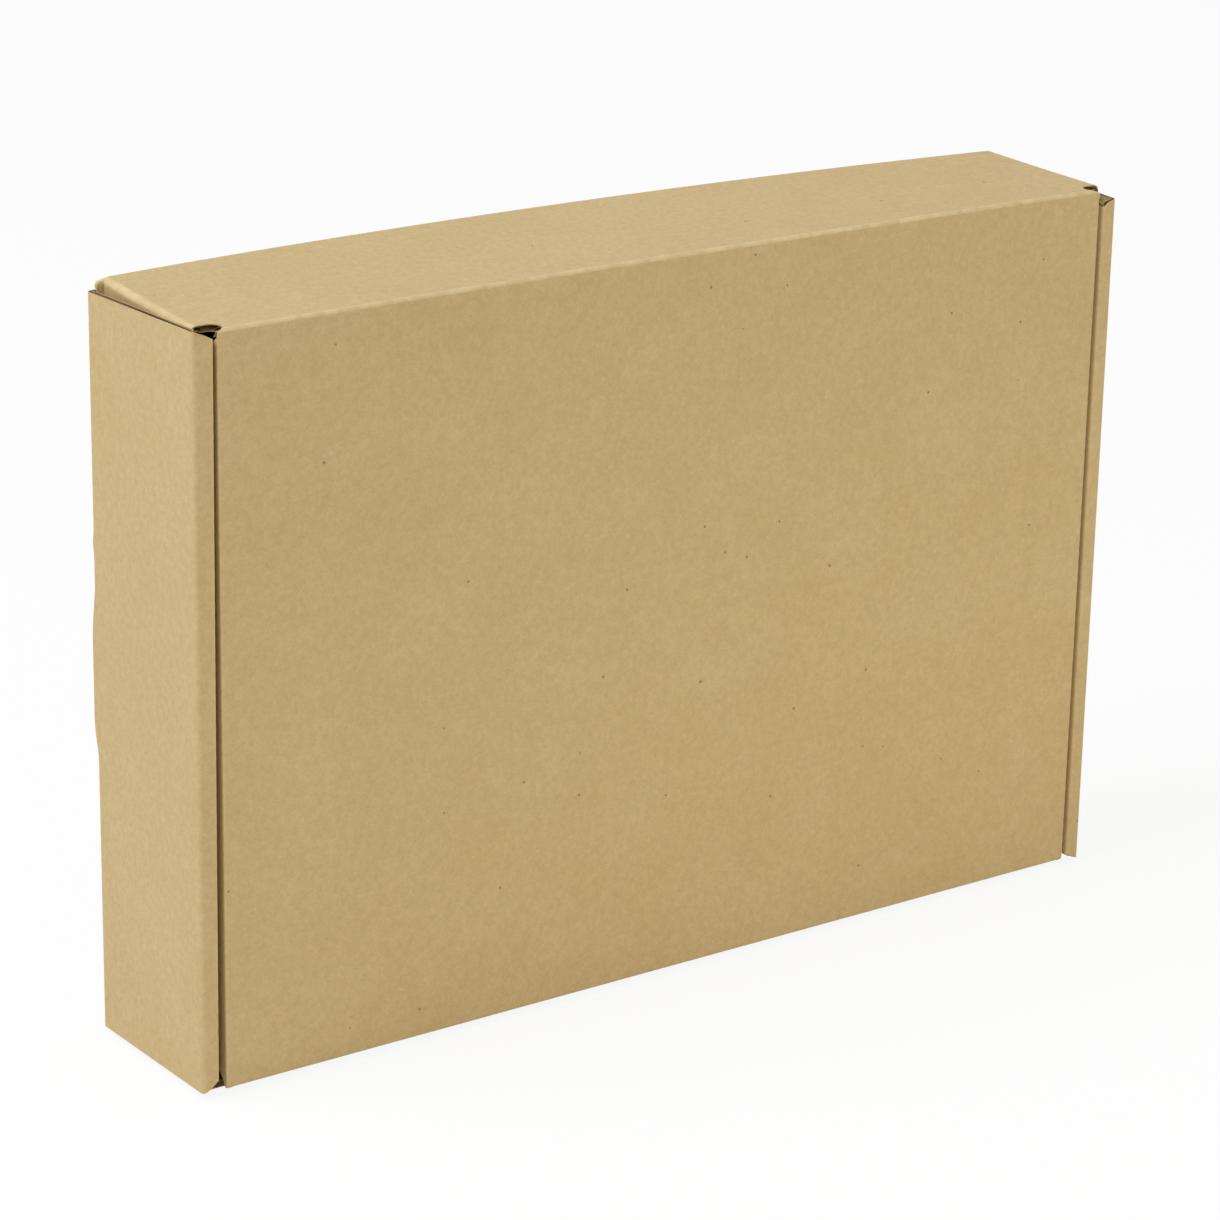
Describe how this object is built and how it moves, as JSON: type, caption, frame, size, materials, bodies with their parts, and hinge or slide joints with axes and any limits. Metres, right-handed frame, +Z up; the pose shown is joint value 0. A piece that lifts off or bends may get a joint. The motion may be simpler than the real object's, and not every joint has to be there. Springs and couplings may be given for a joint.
{
  "type": "cardboard mailer box",
  "caption": "Flat corrugated mailer, closed, folded from one die-cut sheet, with rolled double end walls and a hinged tuck lid.",
  "frame": {"origin": "middle of the front wall's outer face, which the box stands on", "axes": "+X along the length, +Y from the lid to the bottom panel, +Z up to the back wall and the lid's crease"},
  "size_m": [0.25, 0.0495, 0.171],
  "materials": {
    "kraft_board": "matt brown kraft liner on fluted board"
  },
  "bodies": {
    "tray": {"tray": "kraft_board"},
    "lid": {"lid": "kraft_board"}
  },
  "joints": [
    {"name": "lid_hinge", "type": "hinge", "parent": "tray", "child": "lid", "pos_m": [0, -0.02195, 0.1707], "axis": [-1, 0, 0], "range_deg": [0, 180]}
  ]
}
